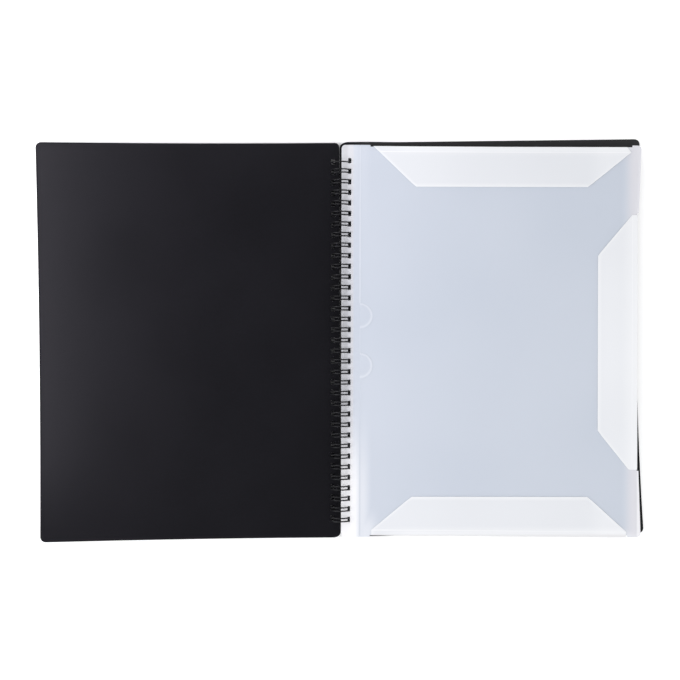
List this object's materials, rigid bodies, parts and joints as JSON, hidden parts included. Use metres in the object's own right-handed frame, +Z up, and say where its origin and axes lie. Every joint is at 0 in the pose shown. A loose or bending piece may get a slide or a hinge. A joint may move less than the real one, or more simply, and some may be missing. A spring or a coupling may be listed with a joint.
{
  "type": "clear pocket display book",
  "caption": "Wire-bound display book lying open: black covers, clear pockets and a frosted three-flap document wallet leaf.",
  "frame": {"origin": "on the table, under the middle of the binding, with the book lying open", "axes": "+X towards the leaves, across the open book; +Y along the binding, towards the pockets' open edges; +Z up"},
  "size_m": [0.4886, 0.324, 0.0193],
  "materials": {
    "cover_sheet": "fine matt grain",
    "frosted_sheet": "frosted, translucent",
    "clear_film": "clear, smooth",
    "coated_wire": "black nylon coating, satin"
  },
  "bodies": {
    "back_cover": {"back_cover": "cover_sheet"},
    "front_cover": {"front_cover": "cover_sheet"},
    "binding_wire": {"binding_wire": "coated_wire"},
    "wallet_strip": {"wallet_strip": "frosted_sheet"},
    "wallet_panel": {"wallet_panel": "frosted_sheet"},
    "wallet_top_flap": {"wallet_top_flap": "frosted_sheet"},
    "wallet_side_flap": {"wallet_side_flap": "frosted_sheet"},
    "wallet_bottom_flap": {"wallet_bottom_flap": "frosted_sheet"},
    "wallet_upper_tab": {"wallet_upper_tab": "frosted_sheet"},
    "wallet_lower_tab": {"wallet_lower_tab": "frosted_sheet"},
    "pocket_01": {"pocket_01": "clear_film"},
    "pocket_02": {"pocket_02": "clear_film"},
    "pocket_03": {"pocket_03": "clear_film"},
    "pocket_04": {"pocket_04": "clear_film"},
    "pocket_05": {"pocket_05": "clear_film"},
    "pocket_06": {"pocket_06": "clear_film"},
    "pocket_07": {"pocket_07": "clear_film"},
    "pocket_08": {"pocket_08": "clear_film"},
    "pocket_09": {"pocket_09": "clear_film"},
    "pocket_10": {"pocket_10": "clear_film"},
    "pocket_11": {"pocket_11": "clear_film"},
    "pocket_12": {"pocket_12": "clear_film"},
    "pocket_13": {"pocket_13": "clear_film"},
    "pocket_14": {"pocket_14": "clear_film"},
    "pocket_15": {"pocket_15": "clear_film"},
    "pocket_16": {"pocket_16": "clear_film"},
    "pocket_17": {"pocket_17": "clear_film"},
    "pocket_18": {"pocket_18": "clear_film"},
    "pocket_19": {"pocket_19": "clear_film"},
    "pocket_20": {"pocket_20": "clear_film"}
  },
  "joints": [
    {"name": "wire_roll", "type": "hinge", "parent": "back_cover", "child": "binding_wire", "pos_m": [0, 0, 0.00821], "axis": [0, -1, 0], "range_deg": [-20, 20]},
    {"name": "front_cover_turn", "type": "hinge", "parent": "back_cover", "child": "front_cover", "pos_m": [0, 0, 0.00821], "axis": [0, -1, 0], "range_deg": [-177, 0]},
    {"name": "wallet_turn", "type": "hinge", "parent": "back_cover", "child": "wallet_strip", "pos_m": [0, 0, 0.00821], "axis": [0, -1, 0], "range_deg": [0, 155]},
    {"name": "wallet_crease", "type": "hinge", "parent": "wallet_strip", "child": "wallet_panel", "pos_m": [0.01554, -0.0014, 0.01073], "axis": [0, -1, 0], "range_deg": [0, 20]},
    {"name": "top_flap_turn", "type": "hinge", "parent": "wallet_panel", "child": "wallet_top_flap", "pos_m": [0.12002, 0.15455, 0.00898], "axis": [-0.9999, 0, 0.0148], "range_deg": [0, 175]},
    {"name": "side_flap_turn", "type": "hinge", "parent": "wallet_panel", "child": "wallet_side_flap", "pos_m": [0.23811, -0.0014, 0.00723], "axis": [0, 1, 0], "range_deg": [0, 175]},
    {"name": "bottom_flap_turn", "type": "hinge", "parent": "wallet_panel", "child": "wallet_bottom_flap", "pos_m": [0.12002, -0.15735, 0.00898], "axis": [0.9999, 0, -0.0148], "range_deg": [0, 175]},
    {"name": "upper_tab_turn", "type": "hinge", "parent": "wallet_strip", "child": "wallet_upper_tab", "pos_m": [0.01554, 0.0186, 0.01073], "axis": [0, -1, 0], "range_deg": [0, 15]},
    {"name": "lower_tab_turn", "type": "hinge", "parent": "wallet_strip", "child": "wallet_lower_tab", "pos_m": [0.01554, -0.0214, 0.01073], "axis": [0, -1, 0], "range_deg": [0, 15]},
    {"name": "pocket_01_turn", "type": "hinge", "parent": "back_cover", "child": "pocket_01", "pos_m": [0, 0, 0.00821], "axis": [0, -1, 0], "range_deg": [0, 147.63]},
    {"name": "pocket_02_turn", "type": "hinge", "parent": "back_cover", "child": "pocket_02", "pos_m": [0, 0, 0.00821], "axis": [0, -1, 0], "range_deg": [0, 140.25]},
    {"name": "pocket_03_turn", "type": "hinge", "parent": "back_cover", "child": "pocket_03", "pos_m": [0, 0, 0.00821], "axis": [0, -1, 0], "range_deg": [0, 132.87]},
    {"name": "pocket_04_turn", "type": "hinge", "parent": "back_cover", "child": "pocket_04", "pos_m": [0, 0, 0.00821], "axis": [0, -1, 0], "range_deg": [0, 125.49]},
    {"name": "pocket_05_turn", "type": "hinge", "parent": "back_cover", "child": "pocket_05", "pos_m": [0, 0, 0.00821], "axis": [0, -1, 0], "range_deg": [0, 118.11]},
    {"name": "pocket_06_turn", "type": "hinge", "parent": "back_cover", "child": "pocket_06", "pos_m": [0, 0, 0.00821], "axis": [0, -1, 0], "range_deg": [0, 110.72]},
    {"name": "pocket_07_turn", "type": "hinge", "parent": "back_cover", "child": "pocket_07", "pos_m": [0, 0, 0.00821], "axis": [0, -1, 0], "range_deg": [0, 103.34]},
    {"name": "pocket_08_turn", "type": "hinge", "parent": "back_cover", "child": "pocket_08", "pos_m": [0, 0, 0.00821], "axis": [0, -1, 0], "range_deg": [0, 95.96]},
    {"name": "pocket_09_turn", "type": "hinge", "parent": "back_cover", "child": "pocket_09", "pos_m": [0, 0, 0.00821], "axis": [0, -1, 0], "range_deg": [0, 88.58]},
    {"name": "pocket_10_turn", "type": "hinge", "parent": "back_cover", "child": "pocket_10", "pos_m": [0, 0, 0.00821], "axis": [0, -1, 0], "range_deg": [0, 81.2]},
    {"name": "pocket_11_turn", "type": "hinge", "parent": "back_cover", "child": "pocket_11", "pos_m": [0, 0, 0.00821], "axis": [0, -1, 0], "range_deg": [0, 73.82]},
    {"name": "pocket_12_turn", "type": "hinge", "parent": "back_cover", "child": "pocket_12", "pos_m": [0, 0, 0.00821], "axis": [0, -1, 0], "range_deg": [0, 66.44]},
    {"name": "pocket_13_turn", "type": "hinge", "parent": "back_cover", "child": "pocket_13", "pos_m": [0, 0, 0.00821], "axis": [0, -1, 0], "range_deg": [0, 59.06]},
    {"name": "pocket_14_turn", "type": "hinge", "parent": "back_cover", "child": "pocket_14", "pos_m": [0, 0, 0.00821], "axis": [0, -1, 0], "range_deg": [0, 51.68]},
    {"name": "pocket_15_turn", "type": "hinge", "parent": "back_cover", "child": "pocket_15", "pos_m": [0, 0, 0.00821], "axis": [0, -1, 0], "range_deg": [0, 44.3]},
    {"name": "pocket_16_turn", "type": "hinge", "parent": "back_cover", "child": "pocket_16", "pos_m": [0, 0, 0.00821], "axis": [0, -1, 0], "range_deg": [0, 36.91]},
    {"name": "pocket_17_turn", "type": "hinge", "parent": "back_cover", "child": "pocket_17", "pos_m": [0, 0, 0.00821], "axis": [0, -1, 0], "range_deg": [0, 29.53]},
    {"name": "pocket_18_turn", "type": "hinge", "parent": "back_cover", "child": "pocket_18", "pos_m": [0, 0, 0.00821], "axis": [0, -1, 0], "range_deg": [0, 22.15]},
    {"name": "pocket_19_turn", "type": "hinge", "parent": "back_cover", "child": "pocket_19", "pos_m": [0, 0, 0.00821], "axis": [0, -1, 0], "range_deg": [0, 14.77]},
    {"name": "pocket_20_turn", "type": "hinge", "parent": "back_cover", "child": "pocket_20", "pos_m": [0, 0, 0.00821], "axis": [0, -1, 0], "range_deg": [0, 7.39]}
  ],
  "couplings": [
    {"joint": "pocket_01_turn", "follows": "wallet_turn", "ratio": 0.95238},
    {"joint": "pocket_02_turn", "follows": "wallet_turn", "ratio": 0.90476},
    {"joint": "pocket_03_turn", "follows": "wallet_turn", "ratio": 0.85714},
    {"joint": "pocket_04_turn", "follows": "wallet_turn", "ratio": 0.80952},
    {"joint": "pocket_05_turn", "follows": "wallet_turn", "ratio": 0.76191},
    {"joint": "pocket_06_turn", "follows": "wallet_turn", "ratio": 0.71429},
    {"joint": "pocket_07_turn", "follows": "wallet_turn", "ratio": 0.66667},
    {"joint": "pocket_08_turn", "follows": "wallet_turn", "ratio": 0.61905},
    {"joint": "pocket_09_turn", "follows": "wallet_turn", "ratio": 0.57143},
    {"joint": "pocket_10_turn", "follows": "wallet_turn", "ratio": 0.52381},
    {"joint": "pocket_11_turn", "follows": "wallet_turn", "ratio": 0.47619},
    {"joint": "pocket_12_turn", "follows": "wallet_turn", "ratio": 0.42857},
    {"joint": "pocket_13_turn", "follows": "wallet_turn", "ratio": 0.38095},
    {"joint": "pocket_14_turn", "follows": "wallet_turn", "ratio": 0.33333},
    {"joint": "pocket_15_turn", "follows": "wallet_turn", "ratio": 0.28571},
    {"joint": "pocket_16_turn", "follows": "wallet_turn", "ratio": 0.2381},
    {"joint": "pocket_17_turn", "follows": "wallet_turn", "ratio": 0.19048},
    {"joint": "pocket_18_turn", "follows": "wallet_turn", "ratio": 0.14286},
    {"joint": "pocket_19_turn", "follows": "wallet_turn", "ratio": 0.095238},
    {"joint": "pocket_20_turn", "follows": "wallet_turn", "ratio": 0.047619}
  ]
}
